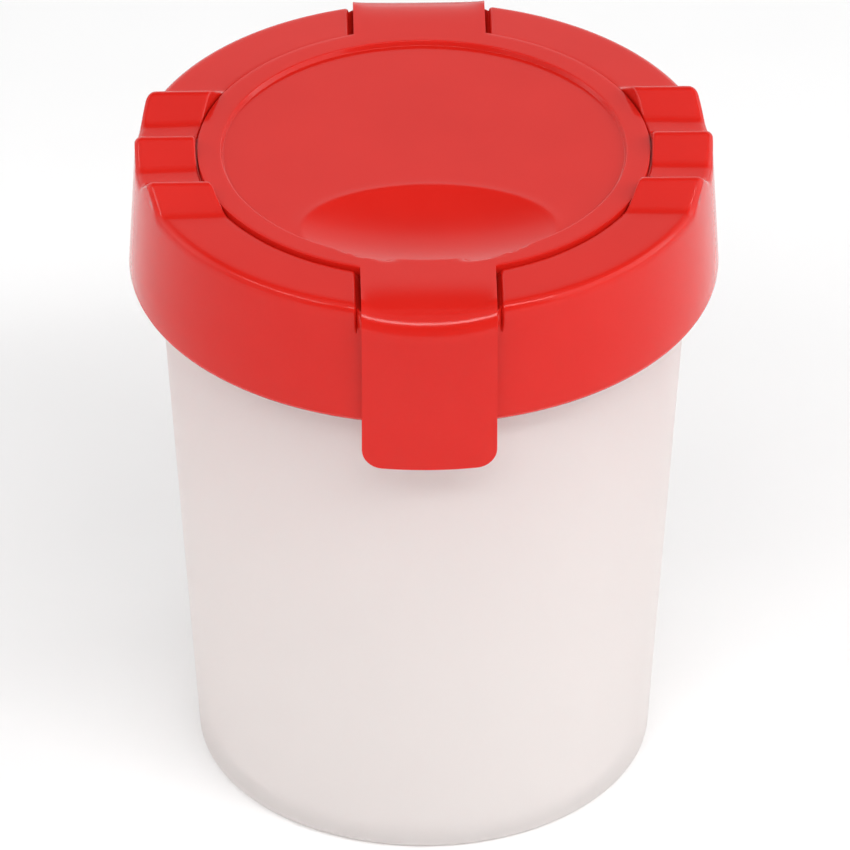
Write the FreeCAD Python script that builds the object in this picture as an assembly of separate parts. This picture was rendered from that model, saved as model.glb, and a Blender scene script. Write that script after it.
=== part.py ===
import FreeCAD, Part
import math
import os

# No-spill paint pot: a tapered cup, a push-fit collar with a funnel, and a stopper lid.
# Millimetres. Z points up, the origin is at the middle of the circle that the cup stands on,
# and the round parts share the Z axis. One lid tab points to -Y and the other to +Y, and the
# two brush rests are on the -X and +X sides. Heights are above the surface it stands on.

# ---------------------------------------------------------------- driving dimensions
BASE_RADIUS = 28.5
WALL_SLOPE = 0.0649          # outward growth of the cup's radius per millimetre of height
CUP_WALL = 1.0
CUP_RIM_HEIGHT = 81.4
CUP_FLOOR_HEIGHT = 2.0
FOOT_RECESS_RADIUS = 25.4
FOOT_RECESS_DEPTH = 0.7
FOOT_RECESS_FLARE = 0.3      # outward slope of the recess's edge
FOOT_ROUND = 1.2
FLOOR_ROUND = 1.5
GATE_RADIUS = 1.4
GATE_DROP = 0.3
RIM_BEAD_RADIUS = 34.35
RIM_BEAD_BOTTOM = 78.9
RIM_BEAD_TOP = 79.7
RIM_BEAD_LEAD = 1.1          # height of the slope below the bead
RIM_BEAD_SHOULDER = 0.7      # height of the slope above it
FILL_LINE_HEIGHT = 27.2
FILL_LINE_RELIEF = 0.15
FILL_LINE_HALF_WIDTH = 0.25

SKIRT_BOTTOM = 69.7
SKIRT_BOTTOM_RADIUS = 36.92
SKIRT_TOP_RADIUS = 36.08
SKIRT_WALL = 1.5
DECK_HEIGHT = 85.9
PLATE = 1.3                  # thickness of the collar's flat walls
SEAT_HEIGHT = 84.7
SEAT_RADIUS = 28.5
DECK_EDGE_ROUND = 1.0
SNAP_BEAD_RADIUS = 34.72
SNAP_BEAD_HEIGHT = 75.3
SNAP_BEAD_LEAD = 0.9         # height of the slopes above and below the bead
SEAL_RING_OUTER = 32.3
SEAL_RING_WALL = 1.1
SEAL_RING_BOTTOM = 76.5
SEAL_RING_LEAD = 1.2         # height of the lead-in at its bottom edge
SEAL_RING_LEAD_DEPTH = 0.4
RIB_COUNT = 12
RIB_THICKNESS = 1.0

MOUTH_RADIUS = 24.1
MOUTH_BOTTOM = 76.5
THROAT_RADIUS = 10.0
THROAT_TOP = 56.0
THROAT_BOTTOM = 53.5
FUNNEL_WALL = 1.2
FUNNEL_ROUND = 1.5
FUNNEL_OUTER_DROP = 0.4      # the outside's bends are this much lower than the inside's

CREST_PITCH = 10.45
CREST_RISE = 2.92           # to the crests' meeting lines, before they are rounded
CREST_SLOPE = 39            # degrees from level
CREST_ROUND = 1.0
VALLEY_ROUND = 2.2

POCKET_HALF_WIDTH = 8.9
POCKET_WALL = 1.15
POCKET_FLOOR = 83.2

LID_RADIUS = 28.1
LID_TOP = 86.5
LID_RECESS_RADIUS = 25.1
LID_RECESS_HEIGHT = 85.85
LID_PLATE = 1.25
PLUG_RADIUS = 23.8
PLUG_WALL = 1.2
PLUG_BOTTOM = 77.5

DISH_HALF_LENGTH = 15.6
DISH_HALF_WIDTH = 9.0
DISH_DEPTH = 1.75
DISH_CENTRE_Y = -16.4
DISH_SHELL = 1.1

TAB_HALF_WIDTH = 8.3
TAB_PLATE = 1.3
TAB_TONGUE_WALL = 0.85
TAB_REACH = 37.9             # radius of the tongue's outer face
TAB_ROOT = 26.5
TAB_ROOT_HEIGHT = 86.35
TAB_EDGE_HEIGHT = 86.45
TAB_SAG = 1.0                # the tab's top is lower by this much along its middle
TAB_BEND_ROUND = 3.2
TAB_BOTTOM = 63.8
TAB_CORNER_ROUND = 2.4
TAB_SECTIONS = 7

FINE_ROUND = 0.2
SMALL_ROUND = 0.3
SOFT_ROUND = 0.4
EMBED = 0.6                  # how far a raised feature reaches into the wall that carries it

ORIGIN = FreeCAD.Vector(0, 0, 0)
Z_AXIS = FreeCAD.Vector(0, 0, 1)


# ---------------------------------------------------------------- outlines and solids
def rounded_wire(corners):
    """A closed wire through 3-D corners given as (point, radius), rounded by tangent arcs."""
    edges = []
    starts = []
    ends = []
    middles = []
    count = len(corners)
    for index, (point, radius) in enumerate(corners):
        to_previous = corners[index - 1][0] - point
        to_next = corners[(index + 1) % count][0] - point
        to_previous.normalize()
        to_next.normalize()
        half_angle = to_previous.getAngle(to_next) / 2
        setback = radius / math.tan(half_angle)
        bisector = to_previous + to_next
        starts.append(point + to_previous * setback)
        ends.append(point + to_next * setback)
        if radius > 0:
            bisector.normalize()
            middles.append(point + bisector * (radius / math.sin(half_angle) - radius))
        else:
            middles.append(point)
    for index in range(count):
        if corners[index][1] > 0:
            arc = Part.Arc(starts[index], middles[index], ends[index])
            edges.append(arc.toShape())
        following = (index + 1) % count
        if ends[index].distanceToPoint(starts[following]) > 1e-6:
            line = Part.LineSegment(ends[index], starts[following])
            edges.append(line.toShape())
    return Part.Wire(edges)


def turned(corners):
    """A solid of revolution about Z from (radius, height, corner round) corners."""
    points = [(FreeCAD.Vector(r, 0, z), rounding) for r, z, rounding in corners]
    return Part.Face(rounded_wire(points)).revolve(ORIGIN, Z_AXIS, 360)


def slab(half_width, near, far, bottom, top):
    """A box centred on X that reaches from -near to -far in Y."""
    return Part.makeBox(2 * half_width, far - near, top - bottom,
                        FreeCAD.Vector(-half_width, -far, bottom))


def half_turn(shape):
    """The same shape on the opposite side of the Z axis."""
    copy = shape.copy()
    copy.rotate(ORIGIN, Z_AXIS, 180)
    return copy


# ---------------------------------------------------------------- cup
def cup_outer_radius(height):
    return BASE_RADIUS + WALL_SLOPE * height


def cup_inner_radius(height):
    return cup_outer_radius(height) - CUP_WALL


def make_cup():
    """Tapered cup with a foot ring, a snap bead under its rim and a raised fill line inside."""
    gate_bottom = FOOT_RECESS_DEPTH - GATE_DROP
    bead_low = RIM_BEAD_BOTTOM - RIM_BEAD_LEAD
    bead_high = RIM_BEAD_TOP + RIM_BEAD_SHOULDER
    line_low = FILL_LINE_HEIGHT - FILL_LINE_HALF_WIDTH
    line_high = FILL_LINE_HEIGHT + FILL_LINE_HALF_WIDTH
    return turned([
        (0, gate_bottom, 0),
        (GATE_RADIUS, gate_bottom, GATE_DROP / 3),
        (GATE_RADIUS, FOOT_RECESS_DEPTH, GATE_DROP / 3),
        (FOOT_RECESS_RADIUS, FOOT_RECESS_DEPTH, SOFT_ROUND),
        (FOOT_RECESS_RADIUS + FOOT_RECESS_FLARE, 0, FINE_ROUND),
        (BASE_RADIUS, 0, FOOT_ROUND),
        (cup_outer_radius(bead_low), bead_low, SOFT_ROUND),
        (RIM_BEAD_RADIUS, RIM_BEAD_BOTTOM, SMALL_ROUND),
        (RIM_BEAD_RADIUS, RIM_BEAD_TOP, SMALL_ROUND),
        (cup_outer_radius(bead_high), bead_high, FINE_ROUND),
        (cup_outer_radius(CUP_RIM_HEIGHT), CUP_RIM_HEIGHT, SMALL_ROUND),
        (cup_inner_radius(CUP_RIM_HEIGHT), CUP_RIM_HEIGHT, SMALL_ROUND),
        (cup_inner_radius(line_high), line_high, 0),
        (cup_inner_radius(FILL_LINE_HEIGHT) - FILL_LINE_RELIEF, FILL_LINE_HEIGHT, 0),
        (cup_inner_radius(line_low), line_low, 0),
        (cup_inner_radius(CUP_FLOOR_HEIGHT), CUP_FLOOR_HEIGHT, FLOOR_ROUND),
        (0, CUP_FLOOR_HEIGHT, 0),
    ])


# ---------------------------------------------------------------- collar
def skirt_radius(height):
    fraction = (height - SKIRT_BOTTOM) / (DECK_HEIGHT - SKIRT_BOTTOM)
    return SKIRT_BOTTOM_RADIUS + fraction * (SKIRT_TOP_RADIUS - SKIRT_BOTTOM_RADIUS)


def collar_body():
    """Skirt, deck, lid seat, seal ring and funnel, all in one turned wall."""
    seal_inner = SEAL_RING_OUTER - SEAL_RING_WALL
    seat_under = SEAT_HEIGHT - PLATE
    deck_under = DECK_HEIGHT - PLATE
    bead_low = SNAP_BEAD_HEIGHT - SNAP_BEAD_LEAD
    bead_high = SNAP_BEAD_HEIGHT + SNAP_BEAD_LEAD
    outer_bend = MOUTH_BOTTOM - FUNNEL_OUTER_DROP
    outer_throat = THROAT_TOP - FUNNEL_OUTER_DROP
    return turned([
        (SKIRT_BOTTOM_RADIUS, SKIRT_BOTTOM, SMALL_ROUND),
        (SKIRT_TOP_RADIUS, DECK_HEIGHT, DECK_EDGE_ROUND),
        (SEAT_RADIUS, DECK_HEIGHT, SMALL_ROUND),
        (SEAT_RADIUS, SEAT_HEIGHT, FINE_ROUND),
        (MOUTH_RADIUS, SEAT_HEIGHT, SOFT_ROUND),
        (MOUTH_RADIUS, MOUTH_BOTTOM, FUNNEL_ROUND),
        (THROAT_RADIUS, THROAT_TOP, FUNNEL_ROUND),
        (THROAT_RADIUS, THROAT_BOTTOM, SOFT_ROUND),
        (THROAT_RADIUS + FUNNEL_WALL, THROAT_BOTTOM, SOFT_ROUND),
        (THROAT_RADIUS + FUNNEL_WALL, outer_throat, FUNNEL_ROUND),
        (MOUTH_RADIUS + FUNNEL_WALL, outer_bend, FUNNEL_ROUND),
        (MOUTH_RADIUS + FUNNEL_WALL, seat_under, SOFT_ROUND),
        (SEAT_RADIUS + PLATE, seat_under, SOFT_ROUND),
        (SEAT_RADIUS + PLATE, deck_under, SMALL_ROUND),
        (seal_inner, deck_under, SMALL_ROUND),
        (seal_inner, SEAL_RING_BOTTOM, SMALL_ROUND),
        (SEAL_RING_OUTER - SEAL_RING_LEAD_DEPTH, SEAL_RING_BOTTOM, SMALL_ROUND),
        (SEAL_RING_OUTER, SEAL_RING_BOTTOM + SEAL_RING_LEAD, 0),
        (SEAL_RING_OUTER, deck_under, SMALL_ROUND),
        (skirt_radius(deck_under) - SKIRT_WALL, deck_under, SMALL_ROUND),
        (skirt_radius(bead_high) - SKIRT_WALL, bead_high, FINE_ROUND),
        (SNAP_BEAD_RADIUS, SNAP_BEAD_HEIGHT, SMALL_ROUND),
        (skirt_radius(bead_low) - SKIRT_WALL, bead_low, FINE_ROUND),
        (skirt_radius(SKIRT_BOTTOM) - SKIRT_WALL, SKIRT_BOTTOM, SMALL_ROUND),
    ])


def rim_ribs():
    """Short radial ribs under the deck that rest on the cup's rim, none of them at a pocket."""
    inner = SEAL_RING_OUTER - EMBED
    outer = skirt_radius(DECK_HEIGHT) - SKIRT_WALL + EMBED
    ribs = []
    for index in range(RIB_COUNT):
        angle = 360 / RIB_COUNT * index
        if angle % 180 == 90:
            continue
        rib = Part.makeBox(outer - inner, RIB_THICKNESS, SEAT_HEIGHT + EMBED - CUP_RIM_HEIGHT,
                           FreeCAD.Vector(inner, -RIB_THICKNESS / 2, CUP_RIM_HEIGHT))
        rib.rotate(ORIGIN, Z_AXIS, angle)
        ribs.append(rib)
    return ribs


def pocket_block():
    """The thick place in the deck that a tab's pocket is sunk into, on the -Y side."""
    ring = turned([
        (SEAT_RADIUS - PLATE, CUP_RIM_HEIGHT, 0),
        (skirt_radius(CUP_RIM_HEIGHT), CUP_RIM_HEIGHT, 0),
        (SKIRT_TOP_RADIUS, DECK_HEIGHT, DECK_EDGE_ROUND),
        (SEAT_RADIUS, DECK_HEIGHT, SMALL_ROUND),
        (SEAT_RADIUS, SEAT_HEIGHT, 0),
        (SEAT_RADIUS - PLATE, SEAT_HEIGHT, 0),
    ])
    return ring.common(slab(POCKET_HALF_WIDTH + POCKET_WALL, 0, TAB_REACH, 0, LID_TOP))


def pocket_hollow():
    """What the pocket takes away: a parallel-sided notch through the deck and the skirt."""
    notch = slab(POCKET_HALF_WIDTH, 0, 1.1 * TAB_REACH, POCKET_FLOOR, LID_TOP + CREST_RISE)
    return notch.cut(Part.makeCylinder(SEAT_RADIUS, 2 * LID_TOP))


def crest_profile():
    """Outline across the three crests of a brush rest, in the YZ plane."""
    flank_reach = CREST_RISE / math.tan(math.radians(CREST_SLOPE))
    base = DECK_HEIGHT - EMBED
    top = DECK_HEIGHT + CREST_RISE
    outside = 1.5 * CREST_PITCH
    corners = [(outside, base, 0), (outside, DECK_HEIGHT, 0)]
    for crest in (CREST_PITCH, 0, -CREST_PITCH):
        corners += [
            (crest + flank_reach, DECK_HEIGHT, VALLEY_ROUND),
            (crest, top, CREST_ROUND),
            (crest - flank_reach, DECK_HEIGHT, VALLEY_ROUND),
        ]
    corners += [(-outside, DECK_HEIGHT, 0), (-outside, base, 0)]
    wire = rounded_wire([(FreeCAD.Vector(0, y, z), rounding) for y, z, rounding in corners])
    return Part.Face(wire)


def brush_rests():
    """Three rounded crests with valleys between them, on the -X and +X sides of the deck."""
    bar = crest_profile().extrude(FreeCAD.Vector(2 * TAB_REACH, 0, 0))
    bar.translate(FreeCAD.Vector(-TAB_REACH, 0, 0))
    high = DECK_HEIGHT + 2 * CREST_RISE
    ring = turned([
        (SEAT_RADIUS, DECK_HEIGHT - EMBED, 0),
        (skirt_radius(DECK_HEIGHT - DECK_EDGE_ROUND), DECK_HEIGHT - DECK_EDGE_ROUND, 0),
        (skirt_radius(high), high, 0),
        (SEAT_RADIUS, high, 0),
    ])
    return bar.common(ring)


def make_collar():
    collar = collar_body()
    block = pocket_block()
    collar = collar.fuse([block, half_turn(block)] + rim_ribs() + [brush_rests()])
    hollow = pocket_hollow()
    collar = collar.cut([hollow, half_turn(hollow)])
    return collar.removeSplitter()


# ---------------------------------------------------------------- lid
def lid_disc():
    """The round top, its shallow recess and the plug that closes the funnel's mouth."""
    plug_inner = PLUG_RADIUS - PLUG_WALL
    lid_under = LID_RECESS_HEIGHT - LID_PLATE
    return turned([
        (0, LID_RECESS_HEIGHT, 0),
        (LID_RECESS_RADIUS, LID_RECESS_HEIGHT, SMALL_ROUND),
        (LID_RECESS_RADIUS, LID_TOP, SMALL_ROUND),
        (LID_RADIUS, LID_TOP, SMALL_ROUND),
        (LID_RADIUS, SEAT_HEIGHT, FINE_ROUND),
        (PLUG_RADIUS, SEAT_HEIGHT, 0),
        (PLUG_RADIUS, PLUG_BOTTOM, SOFT_ROUND),
        (plug_inner, PLUG_BOTTOM, SOFT_ROUND),
        (plug_inner, lid_under, SOFT_ROUND),
        (0, lid_under, 0),
    ])


def dish_ellipsoid(growth):
    """Ellipsoid whose lowest cap is the finger dish, grown outward for the dish's underside."""
    radius = (DISH_HALF_WIDTH ** 2 + DISH_DEPTH ** 2) / (2 * DISH_DEPTH)
    stretch = DISH_HALF_LENGTH / DISH_HALF_WIDTH
    ball = Part.makeSphere(radius + growth)
    matrix = FreeCAD.Matrix()
    matrix.scale((radius * stretch + growth) / (radius + growth), 1, 1)
    ball = ball.transformGeometry(matrix)
    ball.translate(FreeCAD.Vector(0, DISH_CENTRE_Y, LID_RECESS_HEIGHT + radius - DISH_DEPTH))
    return ball


def add_dish(disc):
    """Press the oval finger dish into the recess, with an even wall under it."""
    inside_plug = Part.makeCylinder(PLUG_RADIUS - PLUG_WALL / 2, LID_RECESS_HEIGHT)
    bowl = dish_ellipsoid(DISH_SHELL).common(inside_plug)
    under_floor = Part.makeCylinder(LID_RADIUS, LID_RECESS_HEIGHT)
    hollow = dish_ellipsoid(0).common(under_floor)
    return disc.fuse(bowl).cut(hollow)


def tab_section(x):
    """Outline of a tab where it is cut lengthwise at a distance from its middle line."""
    reach = math.sqrt(TAB_REACH ** 2 - x ** 2)
    top = TAB_EDGE_HEIGHT - TAB_SAG * (1 - (x / TAB_HALF_WIDTH) ** 2)
    inner = reach - TAB_TONGUE_WALL
    corners = [
        (TAB_ROOT, TAB_ROOT_HEIGHT, 0),
        (reach, top, TAB_BEND_ROUND),
        (reach, TAB_BOTTOM, SMALL_ROUND),
        (inner, TAB_BOTTOM, SMALL_ROUND),
        (inner, top - TAB_PLATE, TAB_BEND_ROUND - TAB_TONGUE_WALL),
        (TAB_ROOT, TAB_ROOT_HEIGHT - TAB_PLATE, 0),
    ]
    return rounded_wire([(FreeCAD.Vector(x, -y, z), rounding) for y, z, rounding in corners])


def make_tab():
    """A springy tab on the -Y side: a dished top that bends down into a long tongue."""
    step = 2 * TAB_HALF_WIDTH / (TAB_SECTIONS - 1)
    sections = [tab_section(-TAB_HALF_WIDTH + index * step) for index in range(TAB_SECTIONS)]
    tab = Part.makeLoft(sections, True, False)
    high = LID_TOP + CREST_RISE
    outline = [
        (-TAB_HALF_WIDTH, TAB_BOTTOM, TAB_CORNER_ROUND),
        (TAB_HALF_WIDTH, TAB_BOTTOM, TAB_CORNER_ROUND),
        (TAB_HALF_WIDTH, high, 0),
        (-TAB_HALF_WIDTH, high, 0),
    ]
    wire = rounded_wire([(FreeCAD.Vector(x, 0, z), rounding) for x, z, rounding in outline])
    trimmer = Part.Face(wire).extrude(FreeCAD.Vector(0, -1.1 * TAB_REACH, 0))
    return tab.common(trimmer)


def make_lid():
    tab = make_tab()
    return add_dish(lid_disc()).fuse([tab, half_turn(tab)])


# ---------------------------------------------------------------- write the parts
PARTS = {
    "cup": make_cup,
    "collar": make_collar,
    "stopper_lid": make_lid,
}

os.makedirs("parts", exist_ok=True)
for name, make in PARTS.items():
    shape = make()
    if len(shape.Solids) != 1 or not shape.isValid():
        raise ValueError(name + " is not one valid solid")
    shape = shape.Solids[0]
    shape.exportStep("parts/" + name + ".step")
    print(name, "volume %.1f mm3" % shape.Volume)
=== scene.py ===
import math

import bmesh
import bpy
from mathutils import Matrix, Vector


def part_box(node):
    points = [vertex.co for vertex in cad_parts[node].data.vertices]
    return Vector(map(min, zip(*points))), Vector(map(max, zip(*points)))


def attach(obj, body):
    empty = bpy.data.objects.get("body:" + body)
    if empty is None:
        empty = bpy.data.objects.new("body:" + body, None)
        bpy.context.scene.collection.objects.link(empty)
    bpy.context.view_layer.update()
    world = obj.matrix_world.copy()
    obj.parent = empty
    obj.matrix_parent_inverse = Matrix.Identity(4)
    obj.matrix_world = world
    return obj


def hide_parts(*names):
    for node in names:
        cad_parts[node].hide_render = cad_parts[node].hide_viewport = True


# A no-spill paint cup: a milky cup, a red collar with a funnel, and a red stopper lid.
# Lengths are in millimetres until a vertex is written, and Z is the axis of every round part.
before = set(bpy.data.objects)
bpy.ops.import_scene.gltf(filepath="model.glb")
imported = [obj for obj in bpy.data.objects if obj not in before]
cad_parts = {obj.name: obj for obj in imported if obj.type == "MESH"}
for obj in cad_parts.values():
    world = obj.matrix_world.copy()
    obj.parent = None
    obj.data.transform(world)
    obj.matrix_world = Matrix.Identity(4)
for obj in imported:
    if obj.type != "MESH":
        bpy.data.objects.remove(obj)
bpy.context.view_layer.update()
MM = 0.001


def top_of(node):
    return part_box(node)[1][2] / MM


def reach_of(node, axis):
    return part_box(node)[1][axis] / MM


# ---------------------------------------------------------------- sizes
SEGMENTS = 256

BASE_RADIUS = 28.5
WALL_SLOPE = 0.0649          # outward growth of the cup's radius per millimetre of height
CUP_WALL = 1.0
CUP_FLOOR = 2.0
FOOT_RECESS_RADIUS = 25.4
FOOT_RECESS_DEPTH = 0.7
GATE_RADIUS = 1.4
GATE_DROP = 0.3
FILL_LINE = 27.2
FILL_LINE_HALF = 0.25
FILL_LINE_RELIEF = 0.14
CUP_RIM = top_of("cup")
RIM_BEAD_RADIUS = reach_of("cup", 0)
RIM_BEAD_BOTTOM = 78.9
RIM_BEAD_TOP = 79.7

SKIRT_BOTTOM = 69.55
SKIRT_BOTTOM_RADIUS = 36.8
SKIRT_TOP_RADIUS = 35.9
SKIRT_WALL = 1.4
SKIRT_FOOT_ROUND = 0.9
DECK_GRID_START = 82.2       # the skirt above this height is built with the deck
DECK = 85.85
DECK_FALL = 0.2              # the deck is this much lower at its outer edge
PLATE = 1.3
SEAT = 84.7
SEAT_RADIUS = 28.36
LEDGE = 85.7                 # the narrow ledge in the gap round the lid
LEDGE_RADIUS = 28.16
SEAL_RING_RADIUS = 32.3
SEAL_RING_WALL = 1.1
SEAL_RING_BOTTOM = 76.5
SNAP_BEAD_RADIUS = 34.72
SNAP_BEAD = 75.3
SNAP_BEAD_LEAD = 0.9         # height of the slopes above and below the snap bead
MOUTH_RADIUS = 24.1
MOUTH_BOTTOM = 76.5
THROAT_RADIUS = 10.0
THROAT_TOP = 56.0
FUNNEL_WALL = 1.2
FUNNEL_ROUND = 2.5
FUNNEL_OUTER_DROP = 0.4      # the outside's bends are this much lower than the inside's
RIB_COUNT = 12
RIB_HALF = 0.5
RIB_EMBED = 0.3              # how far a rib reaches into the walls that carry it
THROAT_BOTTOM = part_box("collar")[0][2] / MM

CREST_PITCH = 10.45
CREST_RISE = 2.92            # to the line where the flanks would meet
CREST_SLOPE = math.radians(39)
CREST_ROUND = 1.0
VALLEY_ROUND = 2.2
CREST_END_LEAN = 0.08        # inward lean of the rest's ends, per millimetre of height
END_ROUND = 1.0
INNER_ROUND = 0.3
CREST_INNER_ROUND = 0.15     # added to the inner round at full crest height

POCKET_HALF = 8.85
POCKET_FLOOR = 83.6
POCKET_SIDE_RISE = 2.4       # how steeply the pocket's floor curves up at its sides
POCKET_SIDE_POWER = 8
POCKET_DRAFT = 0.5
POCKET_EDGE = 0.5
BLOCK_HALF = 10.3            # half width of the thick place under a pocket
BLOCK_INNER_RADIUS = 27.2
BLOCK_SIDE = 0.1             # half width of the slope at the block's side

LID_RADIUS = 28.1
LID_TOP = 86.5
RECESS_FOOT_RADIUS = 24.95
RECESS_RADIUS = 25.2
RECESS = 85.85               # height of the recess's floor
LID_WALL = 1.2
PLUG_RADIUS = 23.8
PLUG_BOTTOM = 77.5

DISH_HALF_LENGTH = 15.6
DISH_HALF_WIDTH = 9.7
DISH_DEPTH = 1.75
DISH_CENTRE = (0.3, -17.2)
DISH_LIP = 0.1
DISH_BEAD = 0.04             # height of the faint bead round the dish
DISH_BEAD_GAP = 0.2
DISH_BEAD_HALF = 0.45
DISH_CUT_START = 8.5         # where the dish starts to cut into the ring
DISH_CUT_SLOPE = 1.5
TONGUE_ROOT_HALF = 5.3       # the ring is whole over this much of the tab's root
TONGUE_ROOT_BLEND = 3.4

TAB_HALF = 8.3
TAB_REACH = 37.75
TAB_BOTTOM = 63.8
TAB_ROOT = 26.5
TAB_WALL = 0.85
TAB_RAMP_POWER = 5           # how late along its length the tab's top dips
TAB_SAG = 1.35               # how far it dips along its middle
TAB_BEND = 3.2
TAB_CORNER = 2.4
EDGE_ROUND = 0.3
FINE_ROUND = 0.15

DISC_COLUMNS = 300
TAB_COLUMNS = 32


# ---------------------------------------------------------------- meshes
def add_object(name, vertices, faces, sharp_angle=38):
    """A smooth-shaded object from millimetre vertices, creased where faces meet sharply."""
    mesh = bpy.data.meshes.new(name)
    mesh.from_pydata([Vector(v) * MM for v in vertices], [], faces)
    mesh.validate()
    tidy = bmesh.new()
    tidy.from_mesh(mesh)
    bmesh.ops.recalc_face_normals(tidy, faces=tidy.faces)
    tidy.to_mesh(mesh)
    tidy.free()
    mesh.shade_smooth()
    mesh.set_sharp_from_angle(angle=math.radians(sharp_angle))
    piece = bpy.data.objects.new(name, mesh)
    bpy.context.scene.collection.objects.link(piece)
    return piece


def rounded(corners, steps=5, closed=False):
    """Points along an outline of (radius, height, round) corners, each rounded by an arc."""
    points = []
    count = len(corners)
    for index, (r, z, rounding) in enumerate(corners):
        here = Vector((r, z))
        if rounding <= 0 or (not closed and index in (0, count - 1)):
            points.append((r, z))
            continue
        back = (Vector(corners[index - 1][:2]) - here).normalized()
        ahead = (Vector(corners[(index + 1) % count][:2]) - here).normalized()
        half = back.angle(ahead) / 2
        centre = here + (back + ahead).normalized() * (rounding / math.sin(half))
        start = here + back * (rounding / math.tan(half)) - centre
        end = here + ahead * (rounding / math.tan(half)) - centre
        sweep = start.angle(end)
        for step in range(steps + 1):
            t = step / steps
            arm = (start * math.sin((1 - t) * sweep) + end * math.sin(t * sweep)) / math.sin(sweep)
            points.append(tuple(centre + arm))
    return points


def ring_faces(rows, columns, close_rows):
    """Quads of a grid that closes round its columns, and round its rows if asked."""
    faces = []
    for row in range(rows if close_rows else rows - 1):
        above = (row + 1) % rows
        for column in range(columns):
            beside = (column + 1) % columns
            faces.append((row * columns + column, row * columns + beside,
                          above * columns + beside, above * columns + column))
    return faces


def lathe(name, outline, closed):
    """A turned shell. An open outline starts and ends on the Z axis."""
    body = outline if closed else outline[1:-1]
    vertices = []
    for r, z in body:
        for column in range(SEGMENTS):
            angle = 2 * math.pi * column / SEGMENTS
            vertices.append((r * math.cos(angle), r * math.sin(angle), z))
    faces = ring_faces(len(body), SEGMENTS, closed)
    if not closed:
        for tip, row in ((outline[0], 0), (outline[-1], len(body) - 1)):
            vertices.append((0, 0, tip[1]))
            middle = len(vertices) - 1
            first = row * SEGMENTS
            for column in range(SEGMENTS):
                faces.append((middle, first + column, first + (column + 1) % SEGMENTS))
    return add_object(name, vertices, faces)


# ---------------------------------------------------------------- cup
def cup_radius(height):
    return BASE_RADIUS + WALL_SLOPE * height


def make_cup():
    """Tapered wall with a foot ring, a gate mark, a rim bead and a fine fill line inside."""
    gate = FOOT_RECESS_DEPTH - GATE_DROP
    bead_low = RIM_BEAD_BOTTOM - 1.1
    bead_high = RIM_BEAD_TOP + 0.7
    line_low = FILL_LINE - FILL_LINE_HALF
    line_high = FILL_LINE + FILL_LINE_HALF
    return lathe("cup_wall", rounded([
        (0, gate, 0),
        (GATE_RADIUS, gate, 0.12),
        (GATE_RADIUS + 0.1, FOOT_RECESS_DEPTH, 0.12),
        (FOOT_RECESS_RADIUS, FOOT_RECESS_DEPTH, 0.4),
        (FOOT_RECESS_RADIUS + 0.3, 0, 0.25),
        (BASE_RADIUS, 0, 1.3),
        (cup_radius(bead_low), bead_low, 0.5),
        (RIM_BEAD_RADIUS, RIM_BEAD_BOTTOM, 0.5),
        (RIM_BEAD_RADIUS, RIM_BEAD_TOP, 0.4),
        (cup_radius(bead_high), bead_high, 0.3),
        (cup_radius(CUP_RIM), CUP_RIM, 0.4),
        (cup_radius(CUP_RIM) - CUP_WALL, CUP_RIM, 0.4),
        (cup_radius(line_high) - CUP_WALL, line_high, 0.1),
        (cup_radius(FILL_LINE) - CUP_WALL - FILL_LINE_RELIEF, FILL_LINE, 0.08),
        (cup_radius(line_low) - CUP_WALL, line_low, 0.1),
        (cup_radius(CUP_FLOOR) - CUP_WALL, CUP_FLOOR, 1.6),
        (0, CUP_FLOOR, 0),
    ]), closed=False)


# ---------------------------------------------------------------- collar
FLANK_REACH = CREST_RISE / math.tan(CREST_SLOPE)
CREST_FOOT = FLANK_REACH + VALLEY_ROUND * math.tan(CREST_SLOPE / 2)


def crest_height(y):
    """Height of the brush rest above the deck: round crests with straight flanks."""
    y = abs(y)
    to_crest = y if y < CREST_PITCH / 2 else abs(y - CREST_PITCH)
    if to_crest >= CREST_FOOT:
        return 0.0
    if to_crest < CREST_ROUND * math.sin(CREST_SLOPE):
        centre = CREST_RISE - CREST_ROUND / math.cos(CREST_SLOPE)
        return centre + math.sqrt(CREST_ROUND ** 2 - to_crest ** 2)
    to_foot = CREST_FOOT - to_crest
    if to_foot < VALLEY_ROUND * math.sin(CREST_SLOPE):
        return VALLEY_ROUND - math.sqrt(VALLEY_ROUND ** 2 - to_foot ** 2)
    return CREST_RISE - to_crest * math.tan(CREST_SLOPE)


def crest_stations():
    """Y of the columns from the middle crest to the rest's end, close together at the crests."""
    tip = CREST_ROUND * math.sin(CREST_SLOPE)
    bend = CREST_FOOT - VALLEY_ROUND * math.sin(CREST_SLOPE)
    down = [tip * step / 6 for step in range(7)]
    down += [tip + (bend - tip) * step / 5 for step in range(1, 6)]
    down += [bend + (CREST_FOOT - bend) * step / 9 for step in range(1, 10)]
    across = down + [CREST_PITCH / 2] + [CREST_PITCH - offset for offset in reversed(down)]
    return across + [CREST_PITCH + offset for offset in down[1:]]


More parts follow.
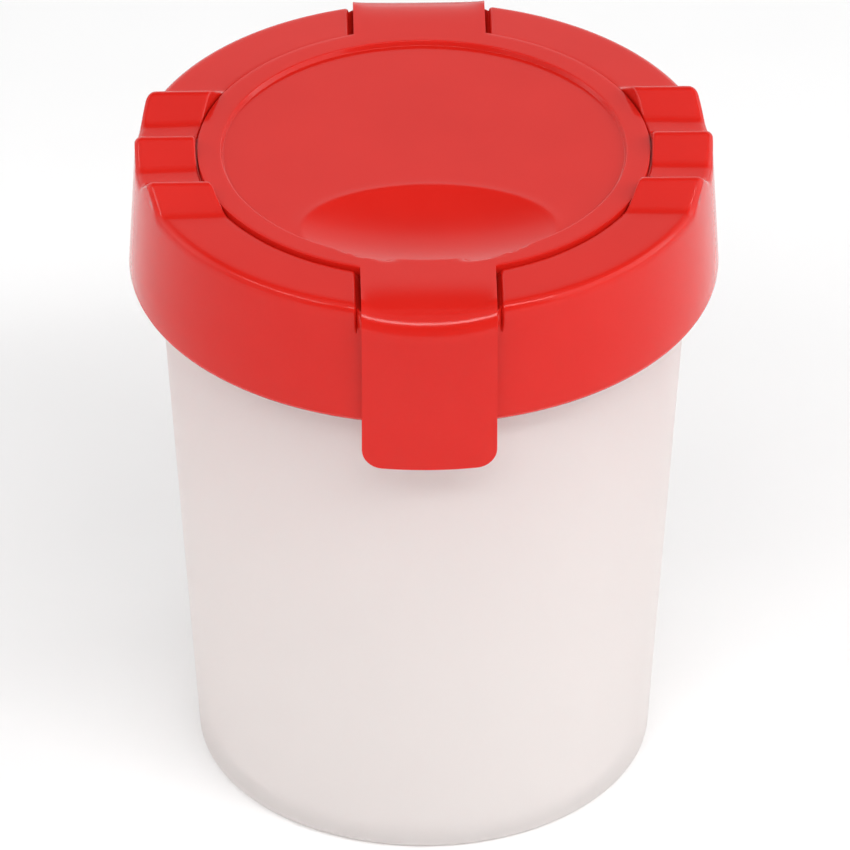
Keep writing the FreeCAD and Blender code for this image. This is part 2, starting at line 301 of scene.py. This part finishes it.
def collar_columns():
    """The columns of one quadrant, from the middle crest round to the middle of a pocket.

    Each is (azimuth for a radius, how far round the pocket's edge rounding, height of the
    pocket's floor, in the pocket's block).
    """
    columns = []
    stations = crest_stations()
    for y in stations:
        columns.append((lambda r, y=y: math.asin(y / r), None, None, False))
    last_y = stations[-1]
    near_x = BLOCK_HALF + BLOCK_SIDE
    far_x = BLOCK_HALF - BLOCK_SIDE
    steps = 22
    for step in range(1, steps):
        t = step / steps
        columns.append((lambda r, t=t: (1 - t) * math.asin(last_y / r) + t * math.acos(near_x / r),
                        None, None, False))
    columns.append((lambda r: math.acos(near_x / r), None, None, False))
    columns.append((lambda r: math.acos(far_x / r), None, None, True))
    for step in range(6):
        turn = math.pi / 2 * step / 5
        x = POCKET_HALF + POCKET_EDGE * (1 - math.sin(turn))
        columns.append((lambda r, x=x: math.acos(x / r), turn, None, True))
    for step in range(8):
        x = (POCKET_HALF - POCKET_DRAFT) * (1 - step / 7)
        floor = POCKET_FLOOR + POCKET_SIDE_RISE * (x / POCKET_HALF) ** POCKET_SIDE_POWER
        columns.append((lambda r, x=x: math.acos(x / r), None, floor, True))
    return columns


def resample(points, count):
    """The same open path with count points, evenly spaced along it."""
    lengths = [0.0]
    for a, b in zip(points, points[1:]):
        lengths.append(lengths[-1] + math.dist(a, b))
    result = []
    segment = 0
    for index in range(count):
        target = lengths[-1] * index / (count - 1)
        while segment < len(points) - 2 and lengths[segment + 1] < target:
            segment += 1
        t = (target - lengths[segment]) / (lengths[segment + 1] - lengths[segment])
        a, b = points[segment], points[segment + 1]
        result.append((a[0] + t * (b[0] - a[0]), a[1] + t * (b[1] - a[1])))
    return result


def skirt_radius(height):
    share = (height - SKIRT_BOTTOM) / (DECK - SKIRT_BOTTOM)
    return SKIRT_BOTTOM_RADIUS + share * (SKIRT_TOP_RADIUS - SKIRT_BOTTOM_RADIUS)


def deck_rows():
    """The rows over the skirt's top, the deck and the seat's wall, as (kind, value)."""
    rows = [("skirt", step / 4) for step in range(5)]
    rows += [("outer", math.pi / 2 * (1 - step / 7)) for step in range(1, 8)]
    rows += [("deck", step / 10) for step in range(1, 10)]
    rows += [("inner", math.pi / 2 * step / 5) for step in range(6)]
    rows += [("wall", 0), ("ledge", 0), ("foot", 0)]
    return rows


def deck_point(kind, value, azimuth):
    """Radius, height and profile normal of one row of the deck at a column's azimuth."""
    outer = SKIRT_TOP_RADIUS - END_ROUND

    def crest_at(radius):
        return crest_height(radius * math.sin(azimuth(radius)))

    def top(radius):
        crest = crest_at(radius)
        inward = (SKIRT_TOP_RADIUS - radius) / (SKIRT_TOP_RADIUS - SEAT_RADIUS)
        return DECK + DECK_FALL * inward * (1 - crest / CREST_RISE) + crest

    if kind == "skirt":
        end = top(SKIRT_TOP_RADIUS) - END_ROUND
        height = DECK_GRID_START + value * (end - DECK_GRID_START)
        return skirt_radius(height) - CREST_END_LEAN * max(height - DECK, 0), height, (1, 0)
    if kind == "outer":
        radius = outer + END_ROUND * math.sin(value)
        height = top(radius) - END_ROUND * (1 - math.cos(value))
        return radius, height, (math.sin(value), math.cos(value))
    rounding = INNER_ROUND + CREST_INNER_ROUND * crest_at(SEAT_RADIUS) / CREST_RISE
    if kind == "deck":
        radius = outer + value * (SEAT_RADIUS + rounding - outer)
        return radius, top(radius), (0, 1)
    if kind == "inner":
        radius = SEAT_RADIUS + rounding * (1 - math.sin(value))
        height = top(radius) - rounding * (1 - math.cos(value))
        return radius, height, (-math.sin(value), math.cos(value))
    if kind == "wall":
        return SEAT_RADIUS, LEDGE, (-1, 0)
    height = LEDGE if kind == "ledge" else SEAT + 0.15
    return LEDGE_RADIUS, height, (-1, 0)


def pocket_path(count, floor):
    """The same rows inside a pocket: skirt, floor, and the wall up to the seat."""
    corners = [
        (skirt_radius(DECK_GRID_START), DECK_GRID_START, 0),
        (skirt_radius(floor), floor, 0.25),
        (LEDGE_RADIUS, floor, 0.02),
        (LEDGE_RADIUS, SEAT + 0.05, 0),
    ]
    return resample(rounded(corners), count)


def under_outline():
    """The rest of the collar's section, from the seat round the funnel to the skirt's foot."""
    seal_inner = SEAL_RING_RADIUS - SEAL_RING_WALL
    under = SEAT - PLATE
    channel = skirt_radius(SEAT) - SKIRT_WALL
    outer_throat = THROAT_RADIUS + FUNNEL_WALL
    outer_mouth = MOUTH_RADIUS + FUNNEL_WALL
    bead_low = SNAP_BEAD - SNAP_BEAD_LEAD
    bead_high = SNAP_BEAD + SNAP_BEAD_LEAD
    return rounded([
        (LEDGE_RADIUS, SEAT + 0.1, 0),
        (LEDGE_RADIUS - 0.1, SEAT, 0),
        (MOUTH_RADIUS, SEAT, 0.5),
        (MOUTH_RADIUS, MOUTH_BOTTOM, FUNNEL_ROUND),
        (THROAT_RADIUS, THROAT_TOP, FUNNEL_ROUND),
        (THROAT_RADIUS, THROAT_BOTTOM, 0.5),
        (outer_throat, THROAT_BOTTOM, 0.5),
        (outer_throat, THROAT_TOP - FUNNEL_OUTER_DROP, FUNNEL_ROUND),
        (outer_mouth, MOUTH_BOTTOM - FUNNEL_OUTER_DROP, FUNNEL_ROUND),
        (outer_mouth, under, 0.6),
        (BLOCK_INNER_RADIUS - 0.2, under, 0),
        (BLOCK_INNER_RADIUS + 0.3, under, 0),
        (SEAT_RADIUS + PLATE, under, 0.3),
        (SEAT_RADIUS + PLATE, SEAT, 0.3),
        (seal_inner, SEAT, 0.3),
        (seal_inner, SEAL_RING_BOTTOM, 0.3),
        (SEAL_RING_RADIUS - 0.4, SEAL_RING_BOTTOM, 0.3),
        (SEAL_RING_RADIUS, SEAL_RING_BOTTOM + 1.2, 0.5),
        (SEAL_RING_RADIUS, SEAT, 0.3),
        (channel, SEAT, 0.4),
        (skirt_radius(bead_high) - SKIRT_WALL, bead_high, 0.3),
        (SNAP_BEAD_RADIUS, SNAP_BEAD, 0.4),
        (skirt_radius(bead_low) - SKIRT_WALL, bead_low, 0.3),
        (skirt_radius(SKIRT_BOTTOM) - SKIRT_WALL, SKIRT_BOTTOM, 0.4),
        (SKIRT_BOTTOM_RADIUS, SKIRT_BOTTOM, SKIRT_FOOT_ROUND),
    ] + [(skirt_radius(height), height, 0) for height in (74.0, 78.0, 82.0)])


def collar_section(column, rows, under):
    """The closed section of the collar at one column, as (x, y, z) in the first quadrant."""
    azimuth_at, edge, floor, in_block = column
    pocket = pocket_path(len(rows), floor) if floor else None

    def azimuth(radius):
        return azimuth_at(max(radius, SEAT_RADIUS))

    points = []
    last = len(rows) - 1
    for index, (kind, value) in enumerate(rows):
        if pocket:
            radius, height = pocket[index]
        else:
            radius, height, normal = deck_point(kind, value, azimuth)
            if edge and 0 < index < last:
                inset = POCKET_EDGE * (1 - math.cos(edge))
                radius -= inset * normal[0]
                height -= inset * normal[1]
        points.append((radius * math.cos(azimuth(radius)), radius * math.sin(azimuth(radius)), height))
    for radius, height in under:
        in_ring = BLOCK_INNER_RADIUS < radius < skirt_radius(SEAT) - SKIRT_WALL / 2
        if in_block and in_ring and SKIRT_BOTTOM + 1 < height < SEAT + 0.01:
            height = min(height, CUP_RIM)
        points.append((radius * math.cos(azimuth(radius)), radius * math.sin(azimuth(radius)), height))
    return points


def make_collar_shell():
    """The collar as one closed grid: sections round the axis, mirrored into four quadrants."""
    rows = deck_rows()
    under = under_outline()
    quadrant = [collar_section(column, rows, under) for column in collar_columns()]
    sections = []
    for sign_x, sign_y, backward in ((1, 1, False), (-1, 1, True), (-1, -1, False), (1, -1, True)):
        part = quadrant[::-1] if backward else quadrant
        for section in part[:-1]:
            sections.append([(sign_x * x, sign_y * y, z) for x, y, z in section])
    count = len(sections)
    height = len(sections[0])
    vertices = [sections[column][row] for row in range(height) for column in range(count)]
    return add_object("collar_shell", vertices, ring_faces(height, count, True))


def make_rim_ribs():
    """Short radial ribs under the deck that rest on the cup's rim, none of them at a pocket."""
    inner = SEAL_RING_RADIUS - RIB_EMBED
    outer = skirt_radius(SEAT) - SKIRT_WALL + RIB_EMBED
    box_faces = ((0, 1, 3, 2), (4, 6, 7, 5), (0, 4, 5, 1), (2, 3, 7, 6), (0, 2, 6, 4), (1, 5, 7, 3))
    vertices = []
    faces = []
    for index in range(RIB_COUNT):
        if index % (RIB_COUNT // 2) == RIB_COUNT // 4:
            continue
        turn = 2 * math.pi * index / RIB_COUNT
        first = len(vertices)
        for r in (inner, outer):
            for side in (-RIB_HALF, RIB_HALF):
                for z in (CUP_RIM, SEAT + RIB_EMBED):
                    vertices.append((r * math.cos(turn) - side * math.sin(turn),
                                     r * math.sin(turn) + side * math.cos(turn), z))
        for face in box_faces:
            faces.append(tuple(first + corner for corner in face))
    return add_object("collar_rim_ribs", vertices, faces)


# ---------------------------------------------------------------- lid
def smooth_max(a, b, blend):
    overlap = max(blend - abs(a - b), 0) / blend
    return max(a, b) + overlap * overlap * blend / 4


def smooth_min(a, b, blend):
    return -smooth_max(-a, -b, blend)


def smooth_step(value):
    value = min(max(value, 0), 1)
    return value * value * (3 - 2 * value)


def disc_height(x, y, share):
    """Height of the disc's top; share goes from 0 on the recess's floor to 1 on the ring.

    The finger dish is a bowl in the floor, and it cuts into the ring on both sides of the tab.
    """
    ball = (DISH_HALF_WIDTH ** 2 + DISH_DEPTH ** 2) / (2 * DISH_DEPTH)
    along = (x - DISH_CENTRE[0]) / DISH_HALF_LENGTH
    across = (y - DISH_CENTRE[1]) / DISH_HALF_WIDTH
    reach = DISH_HALF_WIDTH * math.hypot(along, across)
    bowl = RECESS + ball - DISH_DEPTH - math.sqrt(ball ** 2 - min(reach, 0.95 * ball) ** 2)
    from_bead = (reach - DISH_HALF_WIDTH - DISH_BEAD_GAP) / DISH_BEAD_HALF
    bead = DISH_BEAD * math.exp(-from_bead ** 2)
    floor = smooth_min(RECESS, bowl, DISH_LIP) + bead
    cut = max(RECESS + DISH_CUT_SLOPE * (reach - DISH_CUT_START), bowl)
    cut = smooth_min(LID_TOP, cut, DISH_LIP)
    kept = smooth_step((TONGUE_ROOT_HALF - abs(x)) / TONGUE_ROOT_BLEND + 0.5) if y < 0 else 1
    ring = cut + (LID_TOP - cut) * kept
    return floor + (ring - floor) * share


def dish_reach(direction):
    """Distance from the dish's centre to its oval outline, in a direction."""
    return 1 / math.hypot(direction.x / DISH_HALF_LENGTH, direction.y / DISH_HALF_WIDTH)


def lid_columns():
    """Azimuths of the lid's columns, and for the columns of a tab their X and side."""
    half = math.asin(TAB_HALF / LID_RADIUS)
    stations = [TAB_HALF * math.sin(math.pi / 2 * (2 * step / TAB_COLUMNS - 1))
                for step in range(TAB_COLUMNS + 1)]
    columns = [(math.asin(x / LID_RADIUS) - math.pi / 2, x, -1) for x in stations]
    plain = DISC_COLUMNS // 2
    for step in range(1, plain):
        columns.append((half - math.pi / 2 + (math.pi - 2 * half) * step / plain, 0, 0))
    columns += [(math.pi / 2 - math.asin(x / LID_RADIUS), x, 1) for x in reversed(stations)]
    for step in range(1, plain):
        columns.append((half + math.pi / 2 + (math.pi - 2 * half) * step / plain, 0, 0))
    return columns


def lid_disc_column(azimuth):
    """Upper and lower points of the disc from the dish's centre out to the rim."""
    spoke = Vector((math.cos(azimuth), math.sin(azimuth)))
    centre = Vector(DISH_CENTRE)
    edge = spoke * (RECESS_FOOT_RADIUS - FINE_ROUND)
    direction = (edge - centre).normalized()
    lip = min(dish_reach(direction), (edge - centre).length * 0.97)
    rest = (edge - centre).length - lip
    spread = math.log(1 + rest / 0.5)
    distances = [lip * (1 - (1 - step / 18) ** 1.6) for step in range(1, 19)]
    distances += [lip + rest * (math.exp(spread * step / 14) - 1) / (math.exp(spread) - 1)
                  for step in range(1, 15)]
    places = [(centre + direction * distance, 0) for distance in distances]
    step_rows = rounded([
        (RECESS_FOOT_RADIUS - 1, 0, 0),
        (RECESS_FOOT_RADIUS, 0, FINE_ROUND),
        (RECESS_RADIUS, 1, FINE_ROUND),
        (RECESS_RADIUS + 1, 1, 0),
    ], steps=4)[1:-1]
    ring = [(r, 1) for r in (25.6, 25.9, 26.2, 26.6, 27.0, 27.5, LID_RADIUS)]
    places += [(spoke * r, share) for r, share in step_rows + ring]
    upper = [(at.x, at.y, disc_height(at.x, at.y, share)) for at, share in places]
    lower = []
    for at, share in places:
        under = disc_height(at.x, at.y, 0) - LID_WALL
        if share == 1:
            under = min(under, SEAT + 0.02)
        lower.append((at.x, at.y, under))
    return upper, lower


def tab_profile(x):
    """Upper and lower points of a tab along its length, as (distance from the axis, height)."""
    drop = TAB_SAG * (1 - (x / TAB_HALF) ** 2)
    reach = math.sqrt(TAB_REACH ** 2 - x ** 2)
    slope = 0.2
    for _ in range(4):
        run = reach - TAB_BEND * (1 - math.sin(slope)) - TAB_ROOT
        slope = math.atan(TAB_RAMP_POWER * drop / run)
    root = math.sqrt(LID_RADIUS ** 2 - x ** 2)
    upper = []
    lower = []

    def add(out, z, tilt, wall):
        upper.append((out, z))
        lower.append((out - wall * math.sin(tilt), z - wall * math.cos(tilt)))

    for step in range(1, 22):
        out = root + (TAB_ROOT + run - root) * step / 21
        share = max(out - TAB_ROOT, 0) / run
        tilt = math.atan(TAB_RAMP_POWER * drop / run * share ** (TAB_RAMP_POWER - 1))
        add(out, LID_TOP - drop * share ** TAB_RAMP_POWER, tilt, TAB_WALL)
    arc_height = LID_TOP - drop - TAB_BEND * math.cos(slope)
    for step in range(1, 13):
        tilt = slope + (math.pi / 2 - slope) * step / 12
        add(reach - TAB_BEND * (1 - math.sin(tilt)), arc_height + TAB_BEND * math.cos(tilt), tilt, TAB_WALL)
    straight_end = TAB_BOTTOM + TAB_CORNER
    for step in range(1, 17):
        add(reach, arc_height + (straight_end - arc_height) * step / 16, math.pi / 2, TAB_WALL)
    return upper, lower


def tab_column(x, side):
    """Upper and lower points of a tab's column, with the tongue's corners rounded."""
    upper = []
    lower = []
    over, under = tab_profile(x)
    for (out, z), (out_low, z_low) in zip(over, under):
        upper.append((x, side * out, z))
        lower.append((x, side * out_low, z_low))
    for step in range(1, 9):
        turn = math.pi / 2 * step / 8
        squeeze = 1 - TAB_CORNER * (1 - math.cos(turn)) / TAB_HALF
        z = TAB_BOTTOM + TAB_CORNER * (1 - math.sin(turn))
        near = x * squeeze
        reach = math.sqrt(TAB_REACH ** 2 - near ** 2)
        upper.append((near, side * reach, z))
        lower.append((near, side * (reach - TAB_WALL), z))
    return upper, lower


def bevel_edges(mesh, edges, width, segments=3):
    """Round some edges of a mesh, named by their vertex pairs, with a bevel in millimetres."""
    wanted = {frozenset(pair) for pair in edges}
    shaper = bmesh.new()
    shaper.from_mesh(mesh)
    chosen = [edge for edge in shaper.edges
              if frozenset(vertex.index for vertex in edge.verts) in wanted]
    bmesh.ops.bevel(shaper, geom=chosen, offset=width * MM, segments=segments, profile=0.5,
                    affect="EDGES", clamp_overlap=True)
    bmesh.ops.recalc_face_normals(shaper, faces=shaper.faces)
    shaper.to_mesh(mesh)
    shaper.free()


def make_lid_shell():
    """The lid's upper and lower skins over one grid of columns, joined round the border."""
    columns = lid_columns()
    vertices = [(*DISH_CENTRE, RECESS - DISH_DEPTH), (*DISH_CENTRE, RECESS - LID_WALL - DISH_DEPTH)]
    grid = []
    for azimuth, x, side in columns:
        upper, lower = lid_disc_column(azimuth)
        if side:
            tab_upper, tab_lower = tab_column(x, side)
            upper = upper + tab_upper
            lower = lower + tab_lower
        cells = []
        for high, low in zip(upper, lower):
            vertices += [high, low]
            cells.append(len(vertices) - 2)
        grid.append(cells)
    faces = []
    rim = []
    count = len(grid)
    for index in range(count):
        here = grid[index]
        beside = grid[(index + 1) % count]
        faces.append((0, here[0], beside[0]))
        faces.append((1, beside[0] + 1, here[0] + 1))
        shared = min(len(here), len(beside))
        for row in range(shared - 1):
            faces.append((here[row], here[row + 1], beside[row + 1], beside[row]))
            faces.append((beside[row] + 1, beside[row + 1] + 1, here[row + 1] + 1, here[row] + 1))
        rim.append((here[shared - 1], beside[shared - 1]))
        for row in range(shared - 1, len(here) - 1):
            rim.append((here[row + 1], here[row]))
        for row in range(shared - 1, len(beside) - 1):
            rim.append((beside[row], beside[row + 1]))
    for a, b in rim:
        faces.append((a, a + 1, b + 1, b))
    lid = add_object("lid_shell", vertices, faces)
    bevel_edges(lid.data, rim + [(a + 1, b + 1) for a, b in rim], EDGE_ROUND)
    lid.data.shade_smooth()
    lid.data.set_sharp_from_angle(angle=math.radians(38))
    return lid


def make_plug():
    """The ring under the lid that closes the funnel's mouth. Its top is buried in the disc."""
    inner = PLUG_RADIUS - LID_WALL
    buried = RECESS - LID_WALL / 2
    plug = lathe("lid_plug", rounded([
        (PLUG_RADIUS, buried, 0),
        (PLUG_RADIUS, PLUG_BOTTOM, 0.5),
        (inner, PLUG_BOTTOM, 0.4),
        (inner, buried, 0),
    ], closed=True), closed=True)
    for vertex in plug.data.vertices:
        x, y, z = vertex.co / MM
        if z > buried - 0.1:
            vertex.co.z = (disc_height(x, y, 0) - LID_WALL / 2) * MM
    return plug


cup = make_cup()
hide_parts("cup")
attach(cup, "cup")
collar = make_collar_shell()
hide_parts("collar")
ribs = make_rim_ribs()
for piece in (collar, ribs):
    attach(piece, "collar")
lid = make_lid_shell()
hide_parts("stopper_lid")
plug = make_plug()
for piece in (lid, plug):
    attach(piece, "lid")


# ---------------------------------------------------------------- materials
def nodes_of(material):
    material.use_nodes = True
    tree = material.node_tree
    return tree, tree.nodes["Principled BSDF"]


def surface_noise(tree, scale, detail=2.0):
    """Noise that is fixed to the object, at a scale per metre."""
    place = tree.nodes.new("ShaderNodeTexCoord")
    noise = tree.nodes.new("ShaderNodeTexNoise")
    noise.inputs["Scale"].default_value = scale
    noise.inputs["Detail"].default_value = detail
    tree.links.new(place.outputs["Object"], noise.inputs["Vector"])
    return noise.outputs["Fac"]


def tint_between(tree, noise, shades, positions=(0.0, 1.0)):
    """A colour that wanders with the noise between two shades that are near each other."""
    tint = tree.nodes.new("ShaderNodeValToRGB")
    for stop, shade, position in zip(tint.color_ramp.elements, shades, positions):
        stop.position = position
        stop.color = (*shade, 1)
    tree.links.new(noise, tint.inputs["Fac"])
    return tint.outputs["Color"]


def red_plastic():
    """Semi-gloss injection-moulded red with a faint cloudiness and a fine moulded skin."""
    material = bpy.data.materials.new("red_plastic")
    tree, shader = nodes_of(material)
    cloud = surface_noise(tree, 60, detail=3)
    tint = tint_between(tree, cloud, ((0.60, 0.0125, 0.0070), (0.63, 0.0145, 0.0086)), (0.3, 0.7))
    tree.links.new(tint, shader.inputs["Base Color"])
    skin = surface_noise(tree, 2200)
    gloss = tree.nodes.new("ShaderNodeMapRange")
    gloss.inputs["To Min"].default_value = 0.12
    gloss.inputs["To Max"].default_value = 0.19
    tree.links.new(skin, gloss.inputs["Value"])
    tree.links.new(gloss.outputs["Result"], shader.inputs["Roughness"])
    bump = tree.nodes.new("ShaderNodeBump")
    bump.inputs["Strength"].default_value = 0.12
    bump.inputs["Distance"].default_value = 0.00004
    tree.links.new(skin, bump.inputs["Height"])
    tree.links.new(bump.outputs["Normal"], shader.inputs["Normal"])
    shader.inputs["Specular IOR Level"].default_value = 0.26
    shader.inputs["Subsurface Weight"].default_value = 0.25
    shader.inputs["Subsurface Radius"].default_value = (1.0, 0.25, 0.2)
    shader.inputs["Subsurface Scale"].default_value = 0.0012
    return material


def natural_plastic():
    """Milky unpigmented plastic: part of the light passes through, most of it scatters."""
    material = bpy.data.materials.new("natural_plastic")
    tree, shader = nodes_of(material)
    cloud = surface_noise(tree, 45, detail=4)
    tint = tint_between(tree, cloud, ((0.965, 0.94, 0.93), (0.985, 0.965, 0.955)))
    tree.links.new(tint, shader.inputs["Base Color"])
    shader.inputs["Roughness"].default_value = 0.38
    shader.inputs["Alpha"].default_value = 0.8
    glow = tree.nodes.new("ShaderNodeBsdfTranslucent")
    tree.links.new(tint, glow.inputs["Color"])
    mix = tree.nodes.new("ShaderNodeMixShader")
    mix.inputs["Fac"].default_value = 0.55
    output = tree.nodes["Material Output"]
    tree.links.new(shader.outputs["BSDF"], mix.inputs[1])
    tree.links.new(glow.outputs["BSDF"], mix.inputs[2])
    tree.links.new(mix.outputs["Shader"], output.inputs["Surface"])
    return material


def paper():
    """Plain white paper with a faint, uneven tone, for the floor."""
    material = bpy.data.materials.new("paper")
    tree, shader = nodes_of(material)
    tint = tint_between(tree, surface_noise(tree, 30), ((0.93, 0.93, 0.93), (0.97, 0.97, 0.97)))
    tree.links.new(tint, shader.inputs["Base Color"])
    shader.inputs["Roughness"].default_value = 0.9
    shader.inputs["Specular IOR Level"].default_value = 0.1
    return material


red = red_plastic()
for piece in (collar, ribs, lid, plug):
    piece.data.materials.append(red)
cup.data.materials.append(natural_plastic())


# ---------------------------------------------------------------- camera and light
LAMP_DISTANCE = 1.2
LAMP_AIM = Vector((0, 0, 0.07))
DIM_LIGHT = 0.17             # glow of the surroundings where nothing else lights them
BACKDROP_GLOW = ((0.0, 1.3), (0.30, 0.98), (0.56, 0.66), (0.66, 0.25), (0.78, 0.0))

# name, azimuth, elevation, width, height, radiance
STRIPS = (
    ("front_strip", 12, 51, 1.4, 0.18, 11.2),
    ("front_fill", 0, 8, 2.0, 0.5, 0.2),
    ("left_strip", -63, 42, 0.7, 0.18, 5),
    ("top_front", 0, 70, 1.7, 0.65, 0.6),
    ("top_rear", 0, 94, 1.7, 0.28, 0.3),
    ("right_wing", 76, 24, 1.4, 1.0, 1.55),
    ("left_wing", -76, 24, 1.4, 1.0, 0.45),
)


def add_camera():
    azimuth = math.radians(-1.1)
    elevation = math.radians(33.8)
    distance = 1.637
    target = Vector((0.00015, 0, 0.0452))
    back = Vector((math.sin(azimuth) * math.cos(elevation),
                   -math.cos(azimuth) * math.cos(elevation), math.sin(elevation)))
    data = bpy.data.cameras.new("camera")
    data.lens = 551
    data.clip_end = 20
    camera = bpy.data.objects.new("camera", data)
    camera.location = target + back * distance
    camera.rotation_euler = back.to_track_quat("Z", "Y").to_euler()
    bpy.context.scene.collection.objects.link(camera)
    bpy.context.scene.camera = camera


def add_floor():
    bpy.ops.mesh.primitive_plane_add(size=8)
    floor = bpy.context.object
    floor.name = "floor"
    floor.data.materials.append(paper())


def add_strip(name, azimuth, elevation, width, height, radiance):
    """A long soft light that faces the object. Azimuth 0 is in front, and 90 on the right."""
    turn = math.radians(azimuth)
    rise = math.radians(elevation)
    away = Vector((math.sin(turn) * math.cos(rise), -math.cos(turn) * math.cos(rise), math.sin(rise)))
    data = bpy.data.lights.new(name, "AREA")
    data.shape = "RECTANGLE"
    data.size = width
    data.size_y = height
    data.energy = radiance * math.pi * width * height
    lamp = bpy.data.objects.new(name, data)
    lamp.location = away * LAMP_DISTANCE + LAMP_AIM
    lamp.rotation_euler = away.to_track_quat("Z", "Y").to_euler()
    lamp.visible_camera = False
    bpy.context.scene.collection.objects.link(lamp)


def math_node(tree, operation, first, second):
    """A sum or product of two sockets, or of a socket and a number."""
    node = tree.nodes.new("ShaderNodeMath")
    node.operation = operation
    for socket, value in zip(node.inputs, (first, second)):
        if isinstance(value, (int, float)):
            socket.default_value = value
        else:
            tree.links.new(value, socket)
    return node.outputs[0]


def light_tent():
    """Surroundings that are bright behind the object, brightest low down, and dim elsewhere."""
    world = bpy.data.worlds.new("light_tent")
    world.use_nodes = True
    tree = world.node_tree
    direction = tree.nodes.new("ShaderNodeTexCoord")
    parts = tree.nodes.new("ShaderNodeSeparateXYZ")
    tree.links.new(direction.outputs["Generated"], parts.inputs["Vector"])
    low = tree.nodes.new("ShaderNodeValToRGB")
    stops = low.color_ramp.elements
    stops.remove(stops[0])
    stops[0].position = 0
    for height, glow in BACKDROP_GLOW:
        stop = stops.new(height) if height > 0 else stops[0]
        stop.color = (glow, glow, glow, 1)
    tree.links.new(parts.outputs["Z"], low.inputs["Fac"])
    behind = tree.nodes.new("ShaderNodeMapRange")
    behind.inputs["From Min"].default_value = -0.3
    behind.inputs["From Max"].default_value = 0.2
    tree.links.new(parts.outputs["Y"], behind.inputs["Value"])
    glow = math_node(tree, "MULTIPLY", low.outputs["Color"], behind.outputs["Result"])
    glow = math_node(tree, "ADD", glow, DIM_LIGHT)
    tree.links.new(glow, tree.nodes["Background"].inputs["Strength"])
    tree.nodes["Background"].inputs["Color"].default_value = (1, 1, 1, 1)
    bpy.context.scene.world = world


def light_scene():
    light_tent()
    for strip in STRIPS:
        add_strip(*strip)
    bpy.context.scene.view_settings.view_transform = "Standard"


add_camera()
add_floor()
light_scene()
